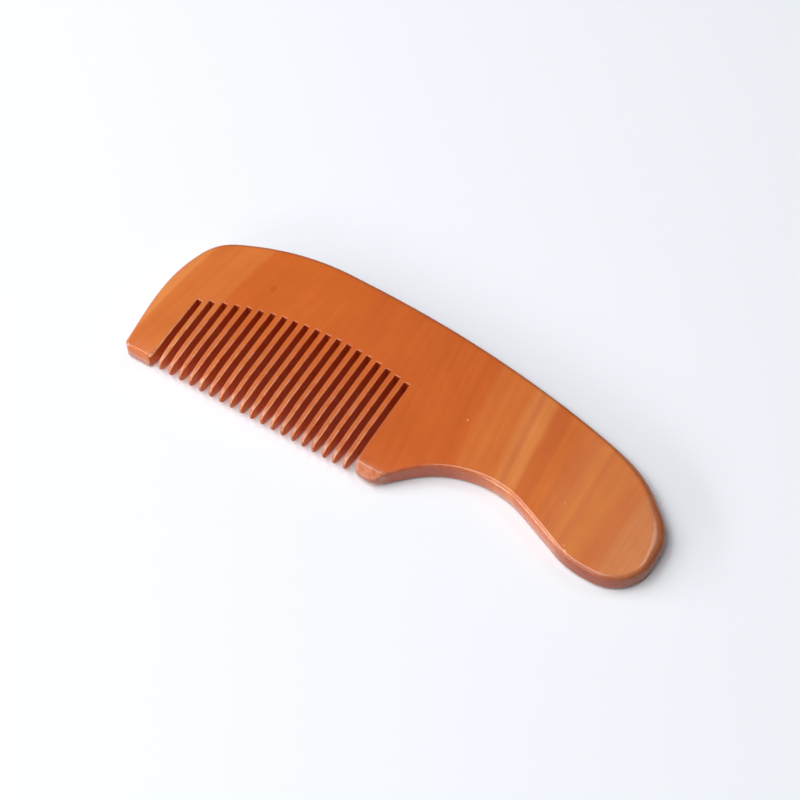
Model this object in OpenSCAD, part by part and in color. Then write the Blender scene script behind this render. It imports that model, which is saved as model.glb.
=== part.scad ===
// Beard comb with a curved handle, sawn and sanded from one flat board.
//
// The comb lies flat: +X runs from the head to the handle, +Y from the tooth
// tips to the spine, and +Z up through the thickness.  The origin is on the
// surface that the comb lies on, under the middle of its length and width.

/* [Board] */
// Overall length, from the head end to the handle end
comb_l = 142.8; // [138:0.1:148]
// Overall width, from the tooth tips to the top of the spine
comb_w = 47.5; // [46:0.1:50]
// Thickness of the board
comb_t = 5.9; // [5:0.1:7]
// Radius of the sanded edge all round the board
edge_r = 1.3; // [0.8:0.1:1.5]

/* [Teeth] */
// Number of saw slots; the teeth between them are one fewer
slot_count = 20; // [18:1:20]
// Distance from one slot to the next
slot_pitch = 3; // [2.8:0.05:3]
// Distance from the head end to the middle of the first slot
first_slot_x = 10.65; // [9.8:0.05:10.8]
// Width of a slot at its root
slot_root_w = 1.5; // [1.2:0.1:1.6]
// Width of a slot where the pointed tips of the teeth start
slot_mouth_w = 1.8; // [1.5:0.1:1.9]
// Length of the longest slot
slot_max_l = 28.8; // [26:0.1:30]
// Distance from the head end to the longest slot
slot_max_x = 48.7; // [44:0.1:52]
// Radius of the arc that the slot roots follow
root_arc_r = 90; // [80:1:110]

/* [Tooth tips] */
// Length of the pointed tip of a tooth
tip_l = 3.6; // [2:0.2:4]
// Width of a tooth at the end of its tip
tip_w = 0.7; // [0.6:0.1:1]
// Length of the bevels that thin the teeth and guards towards their ends
bevel_l = 9; // [6:0.5:10]
// Depth of each bevel at the end
bevel_depth = 0.9; // [0.5:0.1:1.2]

/* [Hidden] */

wood = "#c8692f";
cut = 1;                     // how far a cutter runs past the board
arc_step = 8;                // largest turn between two points of an arc, in degrees
arc_length = 6;              // and the largest distance between them
arc_room = 0.995;            // share of a side that the arcs at its two ends may fill
edge_angles = [0:15:90];     // steps round the sanded edge, from the side to the face
head_l = 80;                 // length of the part that has teeth and guards
nose_ease = 0.1;             // how much larger the ends' round radius is than the bevels leave
tiny = 0.001;                // tolerance when two lengths are compared

// The outline's corners, anticlockwise from the lower end of the head: the
// distance from the head end, the distance from the tooth tips, and the
// radius that rounds the corner.
OUTLINE = [
    [0, 15.6, 59],                 // head end, where it leans in to the teeth
    [1.7, 0, 1.8],                 // head guard, lower corner
    [74.3, 0, 2],                  // handle guard, lower corner
    [92.5, 19.1, 26],              // finger hollow under the handle
    [125.1, 5.1, 23.7],            // where the hollow meets the handle's end
    [comb_l, 5.1, 10.8],           // handle end, lower side
    [comb_l, 24.2, 12.4],          // handle end, upper side
    [129.8, 35.8, 29.7],           // shoulder of the handle
    [85.1, comb_w, 300],           // long curve of the spine
    [23.2, comb_w, 65],            // where the spine turns down to the head
    [4.1, 37.7, 12.8],             // head, upper corner
    [0, 25.8, 38]                  // head end, where it leans in to the spine
];

function unit(v) = v / norm(v);

// Distance from corner b to where its arc of radius r starts.
function arc_run(a, b, c, r) = r / tan(acos(unit(a - b) * unit(c - b)) / 2);

// Points of the arc that rounds corner b between its neighbours a and c.
function corner_arc(a, b, c, r) =
    let (
        to_a = unit(a - b),
        to_c = unit(c - b),
        half = acos(to_a * to_c) / 2,
        centre = b + unit(to_a + to_c) * r / sin(half),
        from = b + to_a * r / tan(half) - centre,
        from_angle = atan2(from[1], from[0]),
        turn = (180 - 2 * half) * sign(cross(b - a, c - b)),
        steps = ceil(max(abs(turn) / arc_step, r * abs(turn) * PI / 180 / arc_length))
    )
    [for (i = [0:steps]) let (angle = from_angle + turn * i / steps)
        centre + r * [cos(angle), sin(angle)]];

// The outline with every corner rounded.  Where a side is too short for the
// arcs at its two ends, both of them get a smaller radius.
function rounded(corners) =
    let (
        n = len(corners),
        at = [for (c = corners) [c[0], c[1]]],
        runs = [for (i = [0:n - 1])
            arc_run(at[(i + n - 1) % n], at[i], at[(i + 1) % n], corners[i][2])],
        fit = [for (i = [0:n - 1]) let (k = (i + 1) % n)
            min(1, arc_room * norm(at[k] - at[i]) / (runs[i] + runs[k]))]
    )
    [for (i = [0:n - 1])
        let (before = (i + n - 1) % n, radius = corners[i][2] * min(fit[before], fit[i]))
        for (p = corner_arc(at[before], at[i], at[(i + 1) % n], radius)) p];

// A closed outline moved inwards by d, point for point.
function inset(points, d) =
    let (n = len(points))
    [for (i = [0:n - 1])
        let (
            before = unit(points[i] - points[(i + n - 1) % n]),
            after = unit(points[(i + 1) % n] - points[i]),
            inwards = [-before[1] - after[1], before[0] + after[0]]
        )
        points[i] + inwards * d / (1 + before * after)];

// Triangles that fill a ring which runs anticlockwise from its point at the
// head end.  They join its lower side, up to point far, to its upper side.
function fill(ring, far, low, high) =
    let (next_low = low + 1, next_high = high - 1)
    low == far && high == far + 1 ? [] :
    high == far + 1 || (low < far && ring[next_low][0] < ring[next_high][0])
        ? concat([[low, next_low, high]], fill(ring, far, next_low, high))
        : concat([[low, next_high, high]], fill(ring, far, low, next_high));

// The whole board with its sanded edge, before any slot is sawn.
module board() {
    outline = rounded(OUTLINE);
    n = len(outline);
    far = [for (i = [0:n - 1]) if (outline[i][0] > comb_l - tiny) i][0];
    // rings of points from the middle of the underside's edge to its face,
    // then the same rings for the top
    edge = [for (a = edge_angles) [edge_r * (1 - cos(a)), edge_r * (1 - sin(a))]];
    points = [for (top = [0, 1]) for (e = edge) for (p = inset(outline, e[0]))
        [p[0], p[1], top ? comb_t - e[1] : e[1]]];
    rings = len(edge);
    under_face = (rings - 1) * n;
    top_face = (2 * rings - 1) * n;
    face = fill(inset(outline, edge_r), far, 0, n - 1);
    polyhedron(points, concat(
        [for (t = face) [under_face + t[0], under_face + t[1], under_face + t[2]]],
        [for (t = face) [top_face + t[2], top_face + t[1], top_face + t[0]]],
        [for (i = [0:n - 1]) let (k = (i + 1) % n)
            [k, i, rings * n + i, rings * n + k]],
        [for (j = [0:rings - 2]) for (i = [0:n - 1]) let (a = j * n + i, b = j * n + (i + 1) % n)
            [a, b, b + n, a + n]],
        [for (j = [rings:2 * rings - 2]) for (i = [0:n - 1]) let (a = j * n + i, b = j * n + (i + 1) % n)
            [b, a, a + n, b + n]]
    ));
}

// Height of a slot's root above the tooth tips, at distance x from the head end.
function root_y(x) = slot_max_l - root_arc_r + sqrt(pow(root_arc_r, 2) - pow(x - slot_max_x, 2));

// One saw slot with its flared mouth, with the slot's middle at x = 0.
module slot(root) {
    mouth = slot_mouth_w / 2;
    flare = (slot_pitch - tip_w) / 2;
    past = flare + (flare - mouth) * cut / tip_l;
    translate([0, 0, -cut])
        linear_extrude(comb_t + 2 * cut)
            polygon([
                [-slot_root_w / 2, root], [-mouth, tip_l], [-past, -cut],
                [past, -cut], [mouth, tip_l], [slot_root_w / 2, root]
            ]);
}

// What the sanding takes off the ends of the teeth and guards, along Y and Z.
module end_waste() {
    middle = comb_t / 2;
    end_r = middle - bevel_depth + nose_ease;
    difference() {
        translate([-cut, -cut])
            square([bevel_l + cut, comb_t + 2 * cut]);
        intersection() {
            polygon([
                [0, bevel_depth], [bevel_l, 0], [bevel_l + cut, 0],
                [bevel_l + cut, comb_t], [bevel_l, comb_t], [0, comb_t - bevel_depth]
            ]);
            translate([end_r, middle]) {
                circle(end_r, $fn = 48);
                translate([0, -comb_t])
                    square([bevel_l + cut, 2 * comb_t]);
            }
        }
    }
}

module comb() {
    color(wood)
        translate([-comb_l / 2, -comb_w / 2, 0])
            difference() {
                board();
                for (i = [0:slot_count - 1])
                    let (x = first_slot_x + i * slot_pitch)
                        translate([x, 0, 0])
                            slot(root_y(x));
                translate([-cut, 0, 0])
                    rotate([90, 0, 90])
                        linear_extrude(head_l + cut)
                            end_waste();
            }
}

comb();
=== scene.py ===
import math
import random

import bpy
import numpy as np
from mathutils import Matrix, Vector, geometry, noise


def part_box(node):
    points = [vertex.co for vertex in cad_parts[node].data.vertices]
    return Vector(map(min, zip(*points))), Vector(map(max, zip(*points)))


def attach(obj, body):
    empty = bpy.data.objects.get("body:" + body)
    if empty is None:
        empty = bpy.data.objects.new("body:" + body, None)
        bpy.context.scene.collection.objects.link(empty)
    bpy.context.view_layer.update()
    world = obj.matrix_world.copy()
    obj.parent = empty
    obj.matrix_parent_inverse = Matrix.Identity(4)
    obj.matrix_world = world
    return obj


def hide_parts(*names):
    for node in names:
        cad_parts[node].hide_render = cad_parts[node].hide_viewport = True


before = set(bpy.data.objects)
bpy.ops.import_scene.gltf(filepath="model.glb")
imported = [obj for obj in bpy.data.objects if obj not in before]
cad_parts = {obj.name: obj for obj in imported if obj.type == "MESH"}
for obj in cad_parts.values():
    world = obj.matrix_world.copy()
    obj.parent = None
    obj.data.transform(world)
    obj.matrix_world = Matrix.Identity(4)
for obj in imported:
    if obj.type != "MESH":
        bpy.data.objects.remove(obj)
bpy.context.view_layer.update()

# A flat wooden beard comb, sawn and sanded from one board.  The mesh is worked
# out in millimetres from the board's own corner: x from the head end, y from
# the tooth tips and z from the face that it lies on.
MM = 0.001
LOW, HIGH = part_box("comb")
LENGTH, WIDTH, THICK = (HIGH - LOW) / MM
HALF = THICK / 2

# ------------------------------------------------------------------- sizes

# The outline's corners, anticlockwise from the lower end of the head: distance
# from the head end, distance from the tooth tips, radius that rounds the
# corner, and radius of the sanded edge there.
OUTLINE = [
    (0, 15.6, 59, 1.2),                # head end, where it leans in to the teeth
    (1.7, 0, 1.8, 0.5),                # head guard, lower corner
    (74.3, 0, 2, 0.7),                 # handle guard, lower corner
    (92.5, 19.1, 26, 0.9),             # finger hollow under the handle
    (125.1, 5.1, 23.7, 1.0),           # where the hollow meets the handle's end
    (LENGTH, 5.1, 10.8, 1.3),          # handle end, lower side
    (LENGTH, 24.2, 12.4, 3.6),         # handle end, upper side
    (129.8, 35.8, 29.7, 2.3),          # shoulder of the handle
    (85.1, WIDTH, 300, 1.3),           # long curve of the spine
    (23.2, WIDTH, 65, 1.3),            # where the spine turns down to the head
    (4.1, 37.7, 12.8, 1.2),            # head, upper corner
    (0, 25.8, 38, 1.2),                # head end, where it leans in to the spine
]
GUARD_CORNERS = 2                      # the corners before the row of teeth
HEAD_L = 78.0                          # length of the head, from its end past the handle guard

# The row of saw slots
SLOT_COUNT = 20
PITCH = 3.0
FIRST_SLOT_X = 10.65
ROOT_W = 1.5                           # width of a slot at its root
MOUTH_W = 1.8                          # width where the tooth tips start
SLOT_MAX_L = 28.8                      # length of the longest slot
SLOT_MAX_X = 48.7                      # and its distance from the head end
ROOT_ARC_R = 90                        # radius of the arc that the roots follow
TIP_L = 3.6                            # length of a tooth's pointed tip
TIP_W = 0.7                            # width of a tooth at its end
TIP_END_Y = 0.05                       # the flat end of a tooth lies lower than this
SAW_WANDER = 0.04                      # how far a saw cut strays from its place

# Radii of a slot's corners, and radii of the edges along the slots
ROOT_CORNER = 0.15                     # at the slot's root
MOUTH_CORNER = 25                      # where the tooth tips start
LEFT_EDGE = 0.3                        # along the side that is nearer to the head
RIGHT_EDGE = 0.12                      # along the side that is nearer to the handle

# Radius of the corner and of the edge at the ends of the teeth and guards
TOOTH_CORNER = (0.3, 0.18)
HEAD_GUARD_CORNER = (1.2, 0.6)
HANDLE_GUARD_CORNER = (2.2, 0.9)

# The shape of the sanded edges.  Their flatness is 0 for a round edge and 1 for
# a flat chamfer.
EDGE_DROP = 2.2                        # how far down the side a wide sanded edge reaches
CHAMFER_Y = (1.6, 5.0)                 # the head guard's chamfer becomes round between these heights
FINGER_FLATNESS = 0.6                  # flatness of the edge that the finger rests on
FINGER_X = ((92, 102), (116, 124))     # where that edge starts and ends, along the board,
FINGER_Y = 22                          # and what it lies below

# The board's thickness.  The teeth and the two guards thin out towards their
# ends, each in its own way: depth of the bevel at the end, length of the
# nose, share of the height that is left at its very end, and how round the
# nose is, from 1 for a flat chamfer to 2 for an arc.
HEAD_GUARD = (0.45, 0.3, 1.0, 2.0)
TEETH = (0.9, 2.2, 0.34, 2.0)
HANDLE_GUARD = (0.6, 2.1, 0.42, 1.0)
BEVEL_L = 9.0
BEVEL_CURVE = 1.3                      # how hollow the bevels are; 1 is straight
BEVEL_FADE_X = (HEAD_L - 2, HEAD_L + 10)  # bevels and noses fade out between these distances
CROWN_DEPTH = 0.22                     # how much thinner the sanded faces get
CROWN_L = 9.0                          # towards the outline, over this distance
WAVE_DEPTH = 0.035                     # hollows that sanding by hand leaves,
WAVE_SCALE = (0.045, 0.07)             # and how many a millimetre holds, along x and y
WAVE_PLACE = 3.7                       # which slice of the noise makes them

# How worn the wood is, and where lighter wood is painted on as a highlight.  Three
# values stand for the head guard, the teeth and the handle guard.
EDGE_WEAR = 0.2                        # on the board's edge
FINGER_WEAR_AND_SHEEN = 0.35                     # on the edge that the finger rests on: wear, with painted sheen
SLOT_HIGHLIGHT = 1.6                        # painted highlight on the edges along the slots,
SLOT_HIGHLIGHT_FALL = (1.6, 15, 0.3, 1.2)   # where it falls from this share by 1 over this length,
                                       # but stays between these two shares
END_WEAR = (0.0, 0.35, 0.5)            # on the ends of the guards and teeth,
END_DARKENING = (0.0, 0.0, 0.5)             # and how much darker they are made with the sides' tint,
END_WEAR_Y = (3.4, 1.2)                # from this height down, growing over this length
TEETH_WEAR = (0, 0.14, 0)              # on the faces of the guards and teeth,
TEETH_WEAR_Y = (24, 10)                # from this height down, growing over this length

# How dark the painted shade is on the board's sides
SIDE_SHADE_DEPTH = 0.64
SIDE_PAINTED_LIGHT = 0.35                    # less, as painted light, in the finger hollow and on the head guard's end,
HEAD_GUARD_FADE = ((8, 14), (3, 8))    # which fades out between these distances, along x and y
SIDE_EXTRA_SHADE = 0.45                     # more, as painted shade facing away from the lamps, on the spine's side and the handle's end,
HANDLE_END_X = (118, 128)              # which starts between these distances
ROOT_SHADE = 0.8                        # and painted shade on the roots of the slots
SIDE_FALL = 0.7                        # how soon it falls off round the edge
SAWN_SHARE = 0.35                      # how sawn a face has to be to have no lacquer

# How finely the mesh follows the shape
ARC_TURN = math.radians(6)             # largest turn between two points of an arc,
ARC_RUN = 0.8                          # and the largest distance between them
SMALL_ARC_R = 1                        # an arc with a smaller radius
SMALL_ARC_STEPS = 8                    # has no more steps than this
RUN_STEP = 1.0                         # distance between points of a straight run,
TIP_STEP = 0.3                         # and at the tooth tips,
TIP_STEP_Y = 4.5                       # up to this height
LAST_STEP = 1.4                        # the last step of a run may be this much longer
LEAST_STEP = 0.005                     # points closer together than this are one point
EDGE_PASSES = 60                       # how often the edge radius is averaged along the contour
EDGE_ANGLES = (0, 13, 26, 39, 52, 65, 78, 90)  # steps round the edge, from the side to the face
RIM_SHARE = 1.3                        # the face starts at this many times the edge radius
RIM_GAP = 0.03                         # and this much further in
FACE_STEP = 1.5                        # distance between points of the faces,
GUARD_STEP = 0.35                      # and where the handle guard is bevelled
BEVELLED_BOX = ((67.5, 0.0), (10.5, 3.5))  # place and size of that bevelled end
ROW_SHARE = 0.87                       # distance between the rows of points, as a share of the step,
RIM_ROOM = 0.45                        # and least distance from the rim

# The wood's grain: growth bands run along the teeth and lean towards the
# middle of the head as they rise.
GRAIN_MIDDLE_X = 51.0
GRAIN_SPAN = 69.0
GRAIN_LEAN = 0.155
GRAIN_LEVEL_Y = 27.6
GRAIN_DEPTH_LEAN = 0.25                # how much they lean through the thickness

rng = random.Random(12)


# ------------------------------------------------------------------- mesh

def unit(v):
    return v / np.linalg.norm(v)


def unit_rows(vectors):
    return vectors / np.linalg.norm(vectors, axis=1)[:, None]


def smooth(x, low, high):
    """A soft step from 0 to 1 between two places."""
    t = np.clip((x - low) / (high - low), 0, 1)
    return t * t * (3 - 2 * t)


def slot_corners(k):
    """The six corners of saw slot k, from its mouth up one side and down the other."""
    x = FIRST_SLOT_X + PITCH * k + rng.uniform(-SAW_WANDER, SAW_WANDER)
    root = SLOT_MAX_L - ROOT_ARC_R + math.sqrt(ROOT_ARC_R**2 - (x - SLOT_MAX_X) ** 2)
    root += rng.uniform(-2, 2) * SAW_WANDER
    tilt = rng.uniform(-1, 1) * SAW_WANDER
    narrow = ROOT_W / 2 + rng.uniform(-0.5, 0.5) * SAW_WANDER
    wide = MOUTH_W / 2
    flare = (PITCH - TIP_W) / 2
    before = HEAD_GUARD_CORNER if k == 0 else TOOTH_CORNER
    after = HANDLE_GUARD_CORNER if k == SLOT_COUNT - 1 else TOOTH_CORNER
    return [
        (x - flare, 0, *before),
        (x - wide, TIP_L, MOUTH_CORNER, LEFT_EDGE),
        (x - narrow + tilt, root, ROOT_CORNER, LEFT_EDGE),
        (x + narrow + tilt, root, ROOT_CORNER, RIGHT_EDGE),
        (x + wide, TIP_L, MOUTH_CORNER, RIGHT_EDGE),
        (x + flare, 0, *after),
    ]


def corner_arc(before, corner, after):
    """Points (x, y, edge radius) of the arc that rounds a corner."""
    at = np.array(corner[:2])
    back = unit(np.array(before[:2]) - at)
    ahead = unit(np.array(after[:2]) - at)
    radius, edge = corner[2:]
    half = math.acos(back @ ahead) / 2
    centre = at + unit(back + ahead) * radius / math.sin(half)
    start = at + back * radius / math.tan(half) - centre
    turn = (math.pi - 2 * half) * np.sign(ahead[0] * back[1] - ahead[1] * back[0])
    steps = max(2, math.ceil(max(abs(turn) / ARC_TURN, radius * abs(turn) / ARC_RUN)))
    if radius < SMALL_ARC_R:
        steps = min(steps, SMALL_ARC_STEPS)
    first = math.atan2(start[1], start[0])
    angles = [first + turn * i / steps for i in range(steps + 1)]
    return [(centre[0] + radius * math.cos(a), centre[1] + radius * math.sin(a), edge) for a in angles]


def rounded(corners):
    """Points (x, y, edge radius) of a closed line of corners, each rounded by its own arc."""
    n = len(corners)
    return [p for i in range(n) for p in corner_arc(corners[i - 1], corners[i], corners[(i + 1) % n])]


def refined(start, end):
    """Points from start up to end along a straight run, closer together at the tooth tips."""
    points = [np.array(start)]
    end = np.array(end)
    while True:
        x, y = points[-1][:2]
        step = TIP_STEP if y < TIP_STEP_Y and x < HEAD_L else RUN_STEP
        left = np.linalg.norm((end - points[-1])[:2])
        if left < LAST_STEP * step:
            return points
        points.append(points[-1] + (end - points[-1]) * step / left)


def contour():
    """The comb's whole contour, slots and all, as rows of x, y and edge radius."""
    slots = [c for k in range(SLOT_COUNT) for c in slot_corners(k)]
    sharp = rounded(OUTLINE[:GUARD_CORNERS] + slots + OUTLINE[GUARD_CORNERS:])
    points = []
    for p, q in zip(sharp, sharp[1:] + sharp[:1]):
        points += refined(p, q)
    points = np.array(points)
    steps = np.linalg.norm(points[:, :2] - np.roll(points[:, :2], 1, 0), axis=1)
    points = points[steps > LEAST_STEP]
    for _ in range(EDGE_PASSES):
        edge = points[:, 2]
        points[:, 2] = edge / 2 + (np.roll(edge, 1) + np.roll(edge, -1)) / 4
    return points


def inset(points, distance):
    """The contour moved into the wood by a distance of its own at each point."""
    along = unit_rows(np.roll(points, -1, 0) - points)
    before = np.roll(along, 1, 0)
    inwards = np.stack([-before[:, 1] - along[:, 1], before[:, 0] + along[:, 0]], 1)
    inwards /= (1 + (before * along).sum(1))[:, None]
    return points + inwards * distance[:, None]


def distance_to(points, line):
    """Distance of each point to the nearest stretch of a closed line."""
    best = np.full(len(points), np.inf)
    for start, end in zip(line, np.roll(line, -1, 0)):
        run = end - start
        t = np.clip((points - start) @ run / (run @ run), 0, 1)
        best = np.minimum(best, np.linalg.norm(points - start - t[:, None] * run, axis=1))
    return best


def is_inside(points, line):
    """Whether each point lies inside a closed line."""
    inside = np.zeros(len(points), bool)
    for (x0, y0), (x1, y1) in zip(line, np.roll(line, -1, 0)):
        crosses = (points[:, 1] < y0) != (points[:, 1] < y1)
        if y0 != y1:
            inside ^= crosses & (points[:, 0] < x0 + (points[:, 1] - y0) * (x1 - x0) / (y1 - y0))
    return inside


def spread_points(rim, corner, size, step):
    """Points spread evenly over the part of the face that lies in a box."""
    rows = []
    for j in range(int(size[1] / step / ROW_SHARE) + 1):
        shift = step / 2 * (j % 2)
        rows += [(corner[0] + i * step + shift, corner[1] + j * step * ROW_SHARE)
                 for i in range(int(size[0] / step) + 1)]
    grid = np.array(rows)
    grid = grid[is_inside(grid, rim)]
    return grid[distance_to(grid, rim) > RIM_ROOM * step]


def face_points(rim):
    """Points inside the rim of the face, closer together where the handle guard is bevelled."""
    coarse = spread_points(rim, (0, 0), (LENGTH, WIDTH), FACE_STEP)
    (x0, y0), (width, height) = BEVELLED_BOX
    fine = spread_points(rim, (x0, y0), (width, height), GUARD_STEP)
    x, y = coarse.T
    near = (x > x0) & (x < x0 + width) & (y < y0 + height + 2 * GUARD_STEP)
    return np.concatenate([coarse[~near], fine])


def filled_face(rim):
    """Points and triangles that fill a face, and the place of each point of its rim among them."""
    n = len(rim)
    spread = np.concatenate([rim, face_points(rim)])
    rim_loop = list(range(n))
    keep_inside = 1
    merge_within = 1e-6
    corners = [Vector(p) for p in spread]
    found = geometry.delaunay_2d_cdt(corners, [], [rim_loop], keep_inside, merge_within)
    points, _, triangles, sources = found[:4]
    place = [0] * n
    for i, made_from in enumerate(sources):
        for source in made_from:
            if source < n:
                place[source] = i
    return np.array([tuple(p) for p in points]), triangles, place


def along_teeth(x, head_guard, teeth, handle_guard):
    """A value that changes at the first and the last saw slot."""
    first, last = FIRST_SLOT_X, FIRST_SLOT_X + PITCH * (SLOT_COUNT - 1)
    on_head = 1 - smooth(x, first - PITCH / 2, first)
    on_handle = smooth(x, last, last + PITCH / 2)
    return teeth + (head_guard - teeth) * on_head + (handle_guard - teeth) * on_handle


def under_finger(x, y):
    """1 along the finger hollow, 0 elsewhere."""
    start, end = FINGER_X
    return smooth(x, *start) * (1 - smooth(x, *end)) * (y < FINGER_Y)


def thinning(x, y):
    """Share of the full thickness that is left at each point."""
    board = np.array(rounded(OUTLINE))[:, :2]
    rim_distance = distance_to(np.column_stack([x, y]), board)
    crown = 1 - CROWN_DEPTH / HALF * np.clip(1 - rim_distance / CROWN_L, 0, 1) ** 2
    head = 1 - smooth(x, *BEVEL_FADE_X)
    places = zip(HEAD_GUARD, TEETH, HANDLE_GUARD)
    depth, nose_l, keep, round_power = (along_teeth(x, *values) for values in places)
    bevel = 1 - depth / HALF * np.clip(1 - y / BEVEL_L, 0, 1) ** BEVEL_CURVE * head
    short = np.clip(1 - y / nose_l, 0, 1)
    nose = keep + (1 - keep) * (1 - short**round_power) ** (1 / round_power)
    nose = 1 + (nose - 1) * head
    across, along = WAVE_SCALE
    wave = np.array([noise.noise(Vector((a * across, b * along, WAVE_PLACE))) for a, b in zip(x, y)])
    return crown * bevel * nose * (1 - WAVE_DEPTH / HALF * np.clip(0.5 + wave, 0, 1))


def edge_rings(flat, edge):
    """Rings of points (x, y, height) round the board's edge, from its side's middle to its face."""
    x, y = flat.T
    chamfer = (x < FIRST_SLOT_X) * (1 - smooth(y, *CHAMFER_Y))
    power = 1 + chamfer + FINGER_FLATNESS * under_finger(x, y)
    drop = np.minimum(edge, EDGE_DROP)
    rings = []
    for a in map(math.radians, EDGE_ANGLES):
        ring = inset(flat, edge * (1 - math.cos(a) ** power))
        rings.append(np.column_stack([ring, HALF - drop * (1 - math.sin(a) ** power)]))
    return rings


def edge_shares(flat, edge):
    """How sawn each ring is, how much lighter wood it has from wear and painted highlights, and how
    much painted shade, point by point.
    """
    x, y = flat.T
    along_x, along_y = unit_rows(np.roll(flat, -1, 0) - np.roll(flat, 1, 0)).T
    in_slot = (y > TIP_END_Y) & (edge < 2 * LEFT_EDGE) & (x > FIRST_SLOT_X - PITCH / 2) & (x < HEAD_L)
    finger = under_finger(x, y)

    # Painted highlight: lighter wood along the slot's side nearer the head and along its root, more of
    # it near the tips
    share, length, least, most = SLOT_HIGHLIGHT_FALL
    slot_highlight = SLOT_HIGHLIGHT * in_slot * np.clip(along_y + along_x, 0, 1)
    slot_highlight *= np.clip(share - y / length, least, most)
    # Wear on the board's edge, with painted sheen on the edge that the finger rests on
    edge_wear_and_sheen = (EDGE_WEAR + (FINGER_WEAR_AND_SHEEN - EDGE_WEAR) * finger) * (1 - in_slot)

    # Painted shade on the sides: lighter where the lamps reach them, deeper where they face away
    head_x, head_y = HEAD_GUARD_FADE
    at_head = (1 - smooth(x, *head_x)) * (1 - smooth(y, *head_y))
    facing_away = np.maximum(smooth(x, *HANDLE_END_X), np.clip(-along_x, 0, 1))
    side_dark = SIDE_SHADE_DEPTH - SIDE_PAINTED_LIGHT * (finger + at_head) + SIDE_EXTRA_SHADE * facing_away
    side_dark *= 1 - in_slot
    # Painted shade on the roots of the slots
    root_shade = ROOT_SHADE * in_slot * np.clip(along_x, 0, 1)

    saw, wear_and_highlight, side = [], [], []
    for a in map(math.radians, EDGE_ANGLES):
        slope, wear_and_highlight_share = math.cos(a), math.sin(2 * a)
        saw.append(in_slot * slope)
        wear_and_highlight.append(edge_wear_and_sheen * wear_and_highlight_share + slot_highlight * wear_and_highlight_share**0.5)
        side.append(side_dark * slope**SIDE_FALL + root_shade * slope)
    return saw, wear_and_highlight, side


def mesh_faces(n, half_count, place, triangles):
    """Faces of the upper half, the same for the lower half, and the strip that joins the halves."""
    last = (len(EDGE_ANGLES) - 1) * n
    face = last + n
    upper = []
    for i in range(n):
        k = (i + 1) % n
        upper += [(low + i, low + k, low + n + k, low + n + i) for low in range(0, last, n)]
        inner = [face + place[k], face + place[i]]
        if place[i] == place[k]:
            inner.pop()
        upper.append((last + i, last + k, *inner))
    upper += [tuple(face + corner for corner in t) for t in triangles]
    lower = [tuple(half_count + corner for corner in reversed(loop)) for loop in upper]
    strip = [(half_count + i, half_count + (i + 1) % n, (i + 1) % n, i) for i in range(n)]
    return upper + lower + strip


def comb_mesh():
    """The comb as one closed mesh: rings round its edges, and two faces that they carry."""
    outline = contour()
    flat, edge = outline[:, :2], outline[:, 2]
    rings = edge_rings(flat, edge)
    face, triangles, place = filled_face(inset(flat, edge * RIM_SHARE + RIM_GAP))
    upper = np.concatenate([*rings, np.column_stack([face, np.full(len(face), HALF)])])
    faces = mesh_faces(len(flat), len(upper), place, triangles)

    points = np.concatenate([upper, upper * (1, 1, -1)])
    x, y = points[:, :2].T
    points[:, 2] = HALF + points[:, 2] * thinning(x, y)

    bare = np.zeros(len(face))
    saw, wear_and_highlight, side = (np.tile(np.concatenate([*share, bare]), 2) for share in edge_shares(flat, edge))
    # The ends of the guards and teeth get wear, and are made darker with the sides' tint
    marked = (
        (wear_and_highlight, END_WEAR, END_WEAR_Y),
        (wear_and_highlight, TEETH_WEAR, TEETH_WEAR_Y),
        (side, END_DARKENING, END_WEAR_Y),
    )
    for share, level, (start, length) in marked:
        share += along_teeth(x, *level) * np.clip((start - y) / length, 0, 1)
    return points, faces, {"saw": saw, "wear_and_highlight": wear_and_highlight, "side": side}


def grain_coordinates(points):
    """Where each point lies in the wood: across the growth bands, along the fibres, and in depth."""
    x, y, z = points.T
    phase = np.clip((x - GRAIN_MIDDLE_X) * math.pi / GRAIN_SPAN, -math.pi, math.pi)
    lean = -GRAIN_LEAN * np.sin(phase)
    return np.column_stack([x - lean * (y - GRAIN_LEVEL_Y) + GRAIN_DEPTH_LEAN * z, y, z])


def make_comb():
    points, faces, shares = comb_mesh()
    mesh = bpy.data.meshes.new("beard_comb")
    place = points * MM + np.array(LOW)
    mesh.from_pydata(place.tolist(), [], faces)
    mesh.validate()
    mesh.update()
    for name, values in shares.items():
        mesh.attributes.new(name, "FLOAT", "POINT").data.foreach_set("value", values.astype(np.float32))
    grain = mesh.attributes.new("grain", "FLOAT_VECTOR", "POINT")
    grain.data.foreach_set("vector", grain_coordinates(points).astype(np.float32).ravel())
    mesh.shade_smooth()
    for polygon in mesh.polygons:
        if min(shares["saw"][v] for v in polygon.vertices) > SAWN_SHARE:
            polygon.material_index = 1
    comb = bpy.data.objects.new("beard_comb", mesh)
    bpy.context.scene.collection.objects.link(comb)
    return comb


# -------------------------------------------------------------- materials

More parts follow.
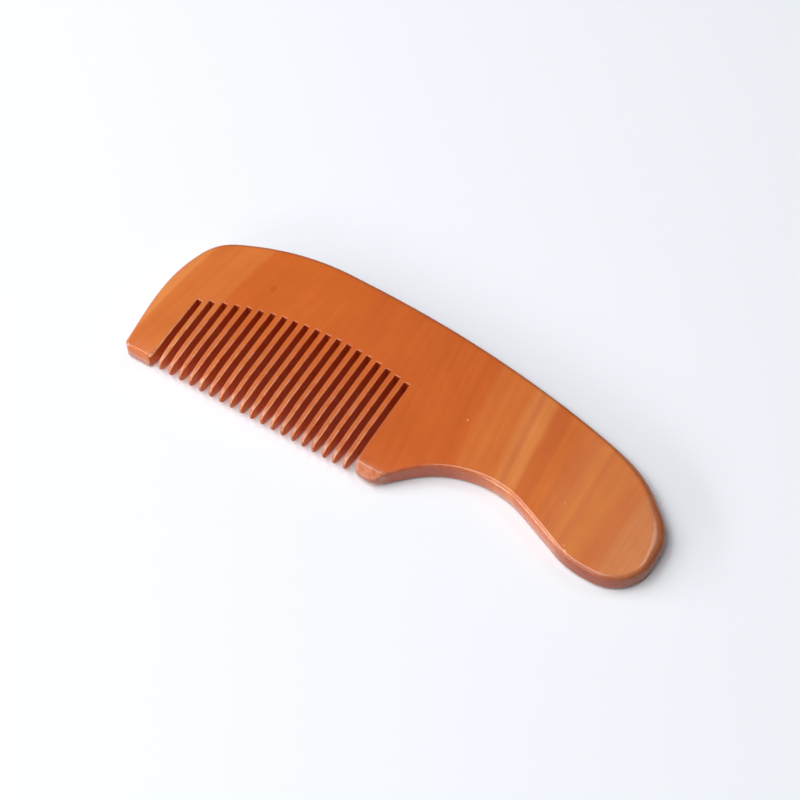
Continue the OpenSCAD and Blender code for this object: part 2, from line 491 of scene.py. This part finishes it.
# Tints that the stain takes on the growth bands, and the bands themselves by
# distance across the grain in millimetres
PALE = (0.70, 0.230, 0.058)
LIGHT = (0.645, 0.200, 0.050)
WARM = (0.61, 0.152, 0.030)
TAWNY = (0.635, 0.166, 0.032)
RED = (0.597, 0.125, 0.018)
DEEP = (0.565, 0.113, 0.018)
BROWN = (0.560, 0.128, 0.027)
ROSY = (0.590, 0.163, 0.046)
PINK = (0.615, 0.208, 0.072)
BANDS = [
    (0, PALE),
    (5, PALE),
    (6.5, WARM),
    (10.5, WARM),
    (12, TAWNY),
    (17.3, TAWNY),
    (18.6, RED),
    (44, RED),
    (52, DEEP),
    (87, DEEP),
    (90, WARM),
    (98, WARM),
    (99.5, LIGHT),
    (101.3, ROSY),
    (102.8, LIGHT),
    (104.3, LIGHT),
    (106, BROWN),
    (109, BROWN),
    (110.5, WARM),
    (118, ROSY),
    (120.5, LIGHT),
    (122.5, ROSY),
    (124.7, LIGHT),
    (132, ROSY),
    (136, PINK),
    (142, PINK),
]
BAND_SWAY = 1.4                        # how far the bands wander to either side

# Tints of the sawn walls, the painted shade on the sides, the lighter wood of wear
# and painted highlights, and small marks, and how strong three of them are
SAWN_RED = (0.56, 0.088, 0.009, 1)
SAWN_BROWN = (0.69, 0.138, 0.018, 1)
SAWN_STRENGTH = 0.8
# Painted shade on the sides
SIDE_SHADE_TINT = (0.53, 0.34, 0.28, 1)
# Lighter wood, for wear and for painted highlights
WORN_AND_HIGHLIGHT = (0.87, 0.44, 0.27, 1)
KNOT_TINT = (0.36, 0.055, 0.010, 1)
KNOT_STRENGTH = 0.3
NICK_TINT = (0.88, 0.46, 0.24, 1)
NICK_STRENGTH = 0.6

# Small marks: distance across the grain, distance from the tooth tips, and size.
# Depth counts for less, so that a mark also shows where the teeth are thinner.
KNOT = (25.0, 33.0, 1.3)
NICKS = [
    (86.8, 25.6, 0.35),
    (125.0, 7.0, 0.45),
    (124.2, 8.0, 0.3),
    (118.5, 18.0, 0.25),
    (29.4, 1.4, 0.8),
]
MARK_DEPTH_SHARE = 0.15

# Noises in the wood: how many waves a millimetre holds across the grain, along
# it and in depth, then the noise's detail and roughness
NOISES = {
    "sway": ((0.06, 0.03, 0.1), 2.0, 0.5),
    "streak": ((0.7, 0.02, 0.5), 3.0, 0.6),
    "fibre": ((7.0, 0.22, 5.0), 3.0, 0.65),
    "cloud": ((0.11, 0.07, 0.1), 3.0, 0.55),
    "pore": ((11.0, 1.1, 9.0), 1.0, 0.5),
    "saw_mark": ((0.3, 5.0, 0.5), 2.0, 0.6),
    "patch": ((0.5, 0.4, 0.5), 3.0, 0.6),
    "ragged": ((1.6, 1.6, 1.6), 2.0, 0.5),
    "polish": ((0.9, 0.2, 0.9), 3.0, 0.5),
    "lacquer": ((0.9, 0.6, 0.9), 2.0, 0.6),
}

# What four of them do to the wood's tone: from and to which value of the noise,
# and the tone at these two values.  It acts on green and blue with a power.
TONES = {
    "streak": (0.25, 0.75, 0.95, 1.05),
    "fibre": (0.2, 0.8, 0.98, 1.02),
    "cloud": (0.25, 0.75, 0.94, 1.06),
    "pore": (0.66, 0.78, 1.0, 0.86),
}
GREEN_POWER = 1.6
BLUE_POWER = 2.0

# What other noises and shares do, in the same way: from and to which value,
# and the result at these two values
SAWN_SPAN = (0.3, 0.7, 0, 1)           # from one tint of the sawn walls to the other
PATCH_SPAN = (0.35, 0.6, 0.2, 0.7)     # how much of the wear and painted highlight shows, in patches
MARK_SPAN = (0.4, 1.0, 1.0, 0.0)       # how a small mark fades out, in its own sizes
POLISH_SPAN = (0.2, 0.8, 0.36, 0.48)   # roughness of the lacquered wood
PORE_SPAN = (0.66, 0.8, 0, 0.5)        # depth of the pores
DULL_SPAN = (0.3, 0.6, 0.0, 0.8)       # how much of the coat wear and painted highlights take away,
SIDE_DULL = 0.5                        # and how much the sides with painted shade do
SAWN_ROUGHER = 0.2                     # how much rougher the sawn walls are
FIBRE_RELIEF = 0.5                     # height of the fibres
LACQUER_RELIEF = 1.5                   # and of the lacquer's ripples
RAGGED_EDGE = 0.8                      # how ragged a small mark's edge is


class Nodes:
    """A small writer of shader nodes: a value may be a number, a colour or another node's output."""

    def __init__(self, material):
        self.tree = material.node_tree
        self.tree.nodes.clear()
        self.grain = self.attribute("grain", "Vector")

    def put(self, value, socket):
        if isinstance(value, bpy.types.NodeSocket):
            self.tree.links.new(value, socket)
        else:
            socket.default_value = value

    def add(self, kind, out=0, settings=(), **inputs):
        """A new node's output; inputs are given by name, or by number as i0, i1 and so on."""
        made = self.tree.nodes.new(kind)
        for key, value in dict(settings).items():
            setattr(made, key, value)
        for key, value in inputs.items():
            numbered = key[0] == "i" and key[1:].isdigit()
            self.put(value, made.inputs[int(key[1:]) if numbered else key.replace("_", " ")])
        return made.outputs[out]

    def math(self, operation, a, b=0.0):
        return self.add("ShaderNodeMath", settings={"operation": operation}, i0=a, i1=b)

    def attribute(self, name, out="Fac"):
        return self.add("ShaderNodeAttribute", out, {"attribute_name": name})

    def stretched_grain(self, scale):
        settings = {"operation": "MULTIPLY"}
        return self.add("ShaderNodeVectorMath", 0, settings, i0=self.grain, i1=scale)

    def noise(self, name):
        scale, detail, roughness = NOISES[name]
        return self.add(
            "ShaderNodeTexNoise",
            "Fac",
            Vector=self.stretched_grain(scale),
            Scale=1.0,
            Detail=detail,
            Roughness=roughness,
        )

    def ramp(self, factor, stops):
        out = self.add("ShaderNodeValToRGB", "Color", Fac=factor)
        ramp = out.node.color_ramp
        ramp.interpolation = "EASE"
        while len(ramp.elements) < len(stops):
            ramp.elements.new(0.5)
        for element, (position, colour) in zip(ramp.elements, stops):
            element.position = position
            element.color = (*colour, 1)
        return out

    def remap(self, value, low, high, new_low, new_high):
        return self.add(
            "ShaderNodeMapRange",
            "Result",
            Value=value,
            From_Min=low,
            From_Max=high,
            To_Min=new_low,
            To_Max=new_high,
        )

    def mark(self, place, ragged):
        """How near a point is to a small mark on the top: 1 at its middle, 0 past its edge."""
        across, along, size = place
        settings = {"operation": "DISTANCE"}
        flat = self.stretched_grain((1, 1, MARK_DEPTH_SHARE))
        middle = (across, along, THICK * MARK_DEPTH_SHARE)
        far = self.add("ShaderNodeVectorMath", 1, settings, i0=flat, i1=middle)
        return self.remap(self.math("ADD", self.math("DIVIDE", far, size), ragged), *MARK_SPAN)

    def mix(self, factor, a, b, blend="MIX"):
        made = self.tree.nodes.new("ShaderNodeMix")
        made.data_type = "RGBA"
        made.blend_type = blend
        for index, value in ((0, factor), (6, a), (7, b)):
            self.put(value, made.inputs[index])
        return made.outputs[2]


def wood_material(name, lacquered):
    """Stained wood under a coat of lacquer, or without one on the sawn walls of the slots."""
    material = bpy.data.materials.new(name)
    material.use_nodes = True
    w = Nodes(material)
    saw, wear_and_highlight, side = (w.attribute(share) for share in ("saw", "wear_and_highlight", "side"))
    noises = {noise_name: w.noise(noise_name) for noise_name in NOISES}

    # growth bands, a little wavy
    across = w.add("ShaderNodeSeparateXYZ", 0, Vector=w.grain)
    across = w.math("ADD", across, w.remap(noises["sway"], 0, 1, -BAND_SWAY, BAND_SWAY))
    place = w.math("DIVIDE", across, LENGTH)
    colour = w.ramp(place, [(x / LENGTH, c) for x, c in BANDS])

    # fibre streaks, cloudy stain and fine pores
    tone = 1.0
    for noise_name, span in TONES.items():
        tone = w.math("MULTIPLY", w.remap(noises[noise_name], *span), tone)
    green, blue = (w.math("POWER", tone, power) for power in (GREEN_POWER, BLUE_POWER))
    tone = w.add("ShaderNodeCombineXYZ", 0, X=tone, Y=green, Z=blue)
    colour = w.mix(1.0, colour, tone, "MULTIPLY")

    # stain soaked into the sawn walls, painted shade on the sides, and wear and painted highlights
    # along the edges
    sawn = w.mix(w.remap(noises["saw_mark"], *SAWN_SPAN), SAWN_RED, SAWN_BROWN)
    colour = w.mix(w.math("MULTIPLY", saw, SAWN_STRENGTH), colour, sawn)
    colour = w.mix(side, colour, w.mix(1.0, colour, SIDE_SHADE_TINT, "MULTIPLY"))
    wear_and_highlight_share = w.math("MULTIPLY", wear_and_highlight, w.remap(noises["patch"], *PATCH_SPAN))
    colour = w.mix(wear_and_highlight_share, colour, WORN_AND_HIGHLIGHT)

    # a faint knot, and nicks that show lighter wood
    ragged = w.math("MULTIPLY", w.math("SUBTRACT", noises["ragged"], 0.5), RAGGED_EDGE)
    colour = w.mix(w.math("MULTIPLY", w.mark(KNOT, ragged), KNOT_STRENGTH), colour, KNOT_TINT)
    for nick in NICKS:
        colour = w.mix(w.math("MULTIPLY", w.mark(nick, ragged), NICK_STRENGTH), colour, NICK_TINT)

    # the surface: satin wood, fine relief, and a coat that painted shade, wear and painted highlights
    # dull
    roughness = w.remap(noises["polish"], *POLISH_SPAN)
    roughness = w.math("ADD", roughness, w.math("MULTIPLY", saw, SAWN_ROUGHER))
    relief = w.math("MULTIPLY", noises["fibre"], FIBRE_RELIEF)
    relief = w.math("ADD", relief, w.math("MULTIPLY", noises["saw_mark"], saw))
    relief = w.math("SUBTRACT", relief, w.remap(noises["pore"], *PORE_SPAN))
    relief = w.math("ADD", relief, w.math("MULTIPLY", noises["lacquer"], LACQUER_RELIEF))
    coat = 0.0
    if lacquered:
        dulled = w.math("MAXIMUM", w.math("MULTIPLY", side, SIDE_DULL), w.remap(wear_and_highlight, *DULL_SPAN))
        coat = w.math("SUBTRACT", 1.0, dulled)
    shader = w.add(
        "ShaderNodeBsdfPrincipled",
        0,
        Base_Color=colour,
        Roughness=roughness,
        IOR=1.47,
        Specular_IOR_Level=0.2,
        Coat_Weight=coat,
        Coat_Roughness=0.14,
        Normal=w.add("ShaderNodeBump", "Normal", Strength=0.25, Distance=0.00004, Height=relief),
    )
    output = w.tree.nodes.new("ShaderNodeOutputMaterial")
    w.tree.links.new(shader, output.inputs["Surface"])
    return material


# ------------------------------------------------------------------ studio

AIM = Vector((-0.0047, 0.0012, 0))     # where the camera's axis meets the floor
CAMERA_AZIMUTH = 31.89
CAMERA_ELEVATION = 58.03
CAMERA_DISTANCE = 0.6391
LENS = 116.65
FLOOR_REACH = 3.0                      # from the middle of the floor to its sides
FLOOR_TINT = (0.835, 0.86, 0.905, 1)
SKY_TINT = (0.93, 0.96, 1.0, 1)
SKY_STRENGTH = 0.03

# The softboxes: azimuth and elevation of each, its width and height, and its power
LIGHT_DISTANCE = 1.4
LIGHTS = {
    "key": (-72, 50, (1.1, 1.0), 10.6),
    "front": (-56, 18, (0.9, 0.14), 6.0),
    "low": (-18, 15, (0.6, 0.24), 5.2),
    "top": (-27, 70, (1.0, 0.8), 11.1),
    "back": (160, 58, (0.4, 0.5), 2.2),
}


def towards(azimuth, elevation):
    """Direction from the comb to a viewer; azimuth 0 is on the side of the tooth tips."""
    a, e = math.radians(azimuth), math.radians(elevation)
    return Vector((math.sin(a) * math.cos(e), -math.cos(a) * math.cos(e), math.sin(e)))


def facing(direction):
    """Rotation of a camera or lamp that looks back along a direction, held level."""
    right = Vector((0, 0, 1)).cross(direction).normalized()
    up = direction.cross(right)
    return Matrix((right, up, direction)).transposed().to_4x4()


def make_camera():
    data = bpy.data.cameras.new("camera")
    data.lens = LENS
    data.sensor_width = 36
    data.clip_start = 0.01
    camera = bpy.data.objects.new("camera", data)
    back = towards(CAMERA_AZIMUTH, CAMERA_ELEVATION)
    camera.matrix_world = Matrix.Translation(AIM + back * CAMERA_DISTANCE) @ facing(back)
    bpy.context.scene.collection.objects.link(camera)
    bpy.context.scene.camera = camera


def softbox(name, azimuth, elevation, size, power):
    data = bpy.data.lights.new(name, "AREA")
    data.shape = "RECTANGLE"
    data.size, data.size_y = size
    data.energy = power
    lamp = bpy.data.objects.new(name, data)
    back = towards(azimuth, elevation)
    lamp.matrix_world = Matrix.Translation(back * LIGHT_DISTANCE) @ facing(back)
    bpy.context.scene.collection.objects.link(lamp)


def floor_material():
    material = bpy.data.materials.new("pale_floor")
    material.use_nodes = True
    shader = material.node_tree.nodes["Principled BSDF"]
    shader.inputs["Base Color"].default_value = FLOOR_TINT
    shader.inputs["Roughness"].default_value = 0.9
    shader.inputs["Specular IOR Level"].default_value = 0.1
    return material


def make_studio():
    corners = [(x * FLOOR_REACH, y * FLOOR_REACH, 0) for x, y in ((-1, -1), (1, -1), (1, 1), (-1, 1))]
    mesh = bpy.data.meshes.new("floor")
    mesh.from_pydata(corners, [], [(0, 1, 2, 3)])
    floor = bpy.data.objects.new("floor", mesh)
    floor.location.z = LOW.z
    mesh.materials.append(floor_material())
    bpy.context.scene.collection.objects.link(floor)

    world = bpy.data.worlds.new("studio")
    world.use_nodes = True
    background = world.node_tree.nodes["Background"]
    background.inputs["Color"].default_value = SKY_TINT
    background.inputs["Strength"].default_value = SKY_STRENGTH
    bpy.context.scene.world = world
    for name, light in LIGHTS.items():
        softbox(name, *light)
    bpy.context.scene.view_settings.view_transform = "Standard"


make_camera()
comb = make_comb()
comb.data.materials.append(wood_material("lacquered_wood", True))
comb.data.materials.append(wood_material("sawn_wood", False))
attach(comb, "root")
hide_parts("comb")
make_studio()
